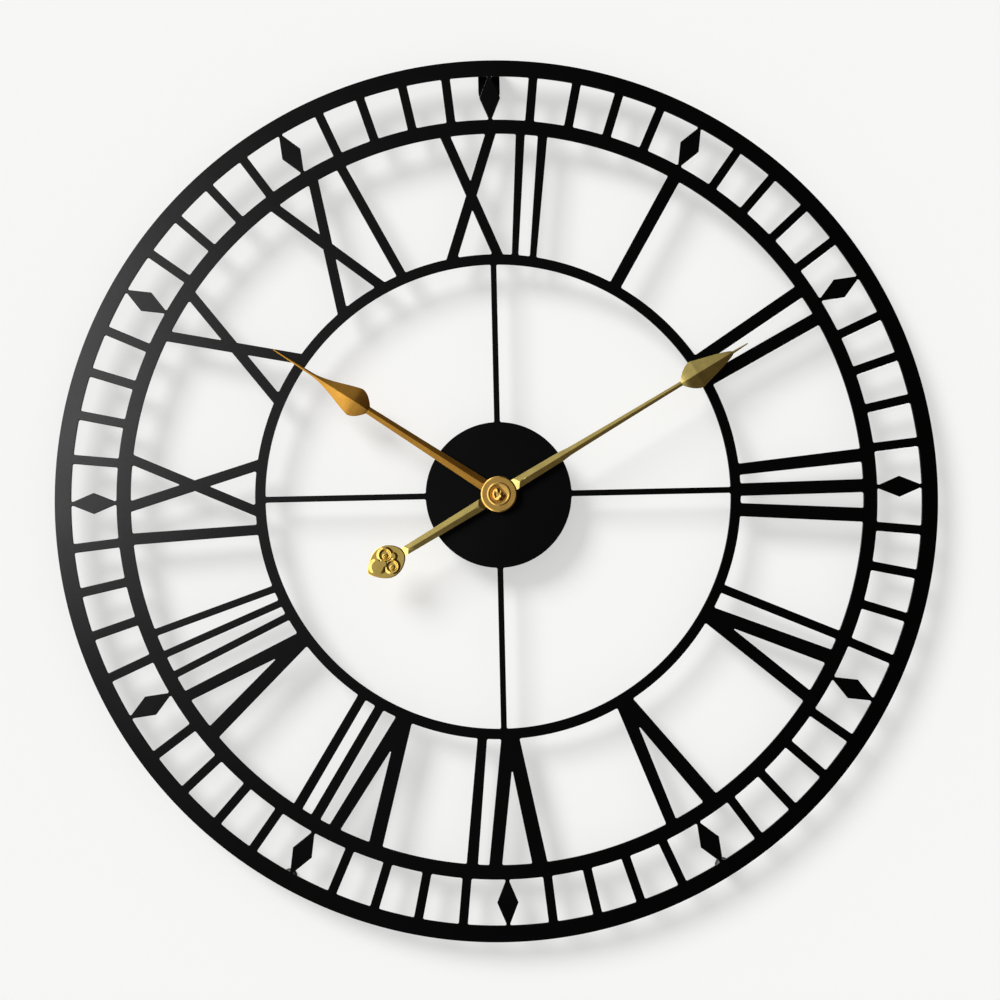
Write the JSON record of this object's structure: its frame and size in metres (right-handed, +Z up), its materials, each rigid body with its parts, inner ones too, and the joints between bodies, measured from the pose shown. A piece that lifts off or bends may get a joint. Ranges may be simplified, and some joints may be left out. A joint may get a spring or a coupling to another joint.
{
  "type": "wall clock",
  "caption": "Open-work round wall clock: sheet-metal rings and roman numerals, centre disc over a quartz movement, gilt leaf hands.",
  "frame": {"origin": "where the hands' axis meets the wall plane, on the movement's back cover", "axes": "+Z up towards 12, +X towards 3 as the clock is read, +Y into the wall; the dial faces -Y"},
  "size_m": [0.5999, 0.0312, 0.6],
  "materials": {
    "black_steel": "satin black powder coat",
    "black_rubber": "matte",
    "case_plastic": "fine moulded texture",
    "pale_plastic": "natural",
    "gear_plastic": "natural acetal",
    "grey_plastic": "moulded",
    "brass": "turned",
    "gold_hands": "gold anodised, polished",
    "bright_steel": "bright",
    "magnet": "sintered magnet on a plastic pinion",
    "copper_wire": "enamelled winding",
    "board": "solder mask",
    "black_epoxy": "potting",
    "battery_jacket": "printed jacket"
  },
  "bodies": {
    "clock": {"outer_ring": "black_steel", "middle_ring": "black_steel", "inner_ring": "black_steel", "minute_bars": "black_steel", "hour_diamonds": "black_steel", "spokes": "black_steel", "centre_disc": "black_steel", "numeral_1": "black_steel", "numeral_2": "black_steel", "numeral_3": "black_steel", "numeral_4": "black_steel", "numeral_5": "black_steel", "numeral_6": "black_steel", "numeral_7": "black_steel", "numeral_8": "black_steel", "numeral_9": "black_steel", "numeral_10": "black_steel", "numeral_11": "black_steel", "numeral_12": "black_steel", "hanger_bracket": "black_steel", "wall_bumpers": "black_rubber", "front_case": "case_plastic", "middle_plate": "pale_plastic", "back_cover": "case_plastic", "threaded_bushing": "brass", "gasket": "black_rubber", "washer": "brass", "hex_nut": "brass", "circuit_board": "board", "chip": "black_epoxy", "crystal": "bright_steel", "coil_bobbin": "pale_plastic", "coil_winding": "copper_wire", "coil_core": "bright_steel", "stator": "bright_steel", "positive_contact": "bright_steel", "negative_contact": "bright_steel"},
    "minute_train": {"minute_hand": "gold_hands", "minute_collet": "gold_hands", "cap_nut": "gold_hands", "minute_arbor": "brass", "centre_wheel": "gear_plastic"},
    "hour_train": {"hour_hand": "gold_hands", "hour_collet": "gold_hands", "hour_wheel": "gear_plastic"},
    "minute_wheel": {"minute_wheel": "gear_plastic"},
    "setting_knob": {"setting_knob": "grey_plastic"},
    "third_wheel": {"third_wheel": "gear_plastic"},
    "fourth_wheel": {"fourth_wheel": "gear_plastic"},
    "intermediate_wheel": {"intermediate_wheel": "gear_plastic"},
    "rotor": {"rotor": "magnet"},
    "battery": {"battery": "battery_jacket"}
  },
  "joints": [
    {"name": "minute_spin", "type": "hinge", "parent": "clock", "child": "minute_train", "pos_m": [0, 0, 0], "axis": [0, 1, 0], "continuous": true},
    {"name": "hour_spin", "type": "hinge", "parent": "clock", "child": "hour_train", "pos_m": [0, 0, 0], "axis": [0, 1, 0], "continuous": true},
    {"name": "minute_wheel_spin", "type": "hinge", "parent": "clock", "child": "minute_wheel", "pos_m": [-0.00789, 0, -0.00287], "axis": [0, 1, 0], "continuous": true},
    {"name": "knob_spin", "type": "hinge", "parent": "clock", "child": "setting_knob", "pos_m": [-0.01617, 0, -0.00141], "axis": [0, 1, 0], "continuous": true},
    {"name": "third_spin", "type": "hinge", "parent": "clock", "child": "third_wheel", "pos_m": [0.00846, 0, 0.00308], "axis": [0, 1, 0], "continuous": true},
    {"name": "fourth_spin", "type": "hinge", "parent": "clock", "child": "fourth_wheel", "pos_m": [0, 0, 0], "axis": [0, 1, 0], "continuous": true},
    {"name": "intermediate_spin", "type": "hinge", "parent": "clock", "child": "intermediate_wheel", "pos_m": [-0.00396, 0, 0.00686], "axis": [0, 1, 0], "continuous": true},
    {"name": "rotor_spin", "type": "hinge", "parent": "clock", "child": "rotor", "pos_m": [-0.00518, 0, 0.01375], "axis": [0, 1, 0], "continuous": true},
    {"name": "battery_slide", "type": "slide", "parent": "clock", "child": "battery", "axis": [0, 1, 0], "range_m": [0, 0.03]}
  ],
  "couplings": [
    {"joint": "hour_spin", "follows": "minute_spin", "ratio": 0.083333},
    {"joint": "minute_wheel_spin", "follows": "minute_spin", "ratio": -0.33333},
    {"joint": "knob_spin", "follows": "minute_spin", "ratio": 1},
    {"joint": "third_spin", "follows": "minute_spin", "ratio": -8},
    {"joint": "fourth_spin", "follows": "minute_spin", "ratio": 60},
    {"joint": "intermediate_spin", "follows": "minute_spin", "ratio": -300},
    {"joint": "rotor_spin", "follows": "minute_spin", "ratio": 1800}
  ]
}
